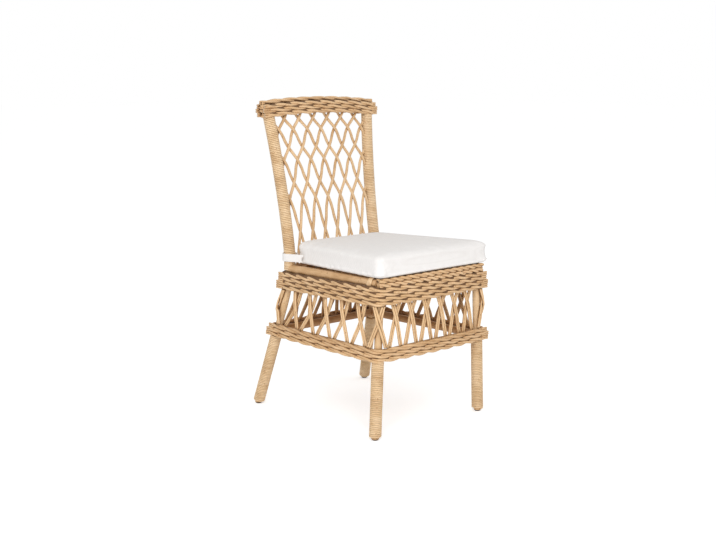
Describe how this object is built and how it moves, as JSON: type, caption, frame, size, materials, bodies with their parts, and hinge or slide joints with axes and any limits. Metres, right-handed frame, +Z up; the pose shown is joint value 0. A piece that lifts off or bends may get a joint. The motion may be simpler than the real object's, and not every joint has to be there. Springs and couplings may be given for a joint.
{
  "type": "rattan chair",
  "caption": "Armless rattan dining chair with a crossed-cane back, braided top rail, open cane skirt between braided rings, splayed bound legs and a tied-on seat cushion.",
  "frame": {"origin": "centre of the overall box, on the floor under the four feet", "axes": "+Z up, -Y towards the chair's front, +X to the right seen from the front"},
  "size_m": [0.4572, 0.534, 0.8937],
  "materials": {
    "rattan_pole": "satin natural rattan",
    "rattan_binding": "satin peeled cane",
    "rattan_braid": "satin natural rattan",
    "rattan_cane": "satin natural rattan",
    "cushion_fabric": "off-white plain weave",
    "cushion_foam": "open-cell foam",
    "glide_plastic": "matte",
    "screw_steel": "zinc plated"
  },
  "bodies": {
    "frame": {"front_leg_left": "rattan_pole", "back_post_left": "rattan_pole", "front_leg_binding_left": "rattan_binding", "back_leg_binding_left": "rattan_binding", "back_post_binding_left": "rattan_binding", "seat_rail_binding_left": "rattan_binding", "front_leg_right": "rattan_pole", "back_post_right": "rattan_pole", "front_leg_binding_right": "rattan_binding", "back_leg_binding_right": "rattan_binding", "back_post_binding_right": "rattan_binding", "seat_rail_binding_right": "rattan_binding", "front_seat_rail": "rattan_pole", "front_lower_rail": "rattan_pole", "upper_braid_front": "rattan_braid", "lower_braid_front": "rattan_braid", "skirt_canes_front": "rattan_cane", "right_seat_rail": "rattan_pole", "right_lower_rail": "rattan_pole", "upper_braid_right": "rattan_braid", "lower_braid_right": "rattan_braid", "skirt_canes_right": "rattan_cane", "back_seat_rail": "rattan_pole", "back_lower_rail": "rattan_pole", "upper_braid_back": "rattan_braid", "lower_braid_back": "rattan_braid", "skirt_canes_back": "rattan_cane", "left_seat_rail": "rattan_pole", "left_lower_rail": "rattan_pole", "upper_braid_left": "rattan_braid", "lower_braid_left": "rattan_braid", "skirt_canes_left": "rattan_cane", "corner_canes_front_left": "rattan_cane", "corner_canes_front_right": "rattan_cane", "corner_canes_back_right": "rattan_cane", "corner_canes_back_left": "rattan_cane", "top_rail": "rattan_pole", "front_border_braid": "rattan_braid", "top_braid_front": "rattan_braid", "top_braid_back": "rattan_braid", "top_braid_cap": "rattan_braid", "back_lattice_rising_right": "rattan_cane", "back_lattice_rising_left": "rattan_cane", "seat_slats": "rattan_cane", "seat_wefts": "rattan_cane", "foot_glides": "glide_plastic", "frame_screws": "screw_steel"},
    "cushion": {"cushion_cover": "cushion_fabric", "cushion_foam": "cushion_foam", "cushion_tie_left": "cushion_fabric", "cushion_tie_right": "cushion_fabric"}
  },
  "joints": [
    {"name": "cushion_lift", "type": "slide", "parent": "frame", "child": "cushion", "axis": [0, 0.13, 0.9915], "range_m": [0, 0.06]}
  ]
}
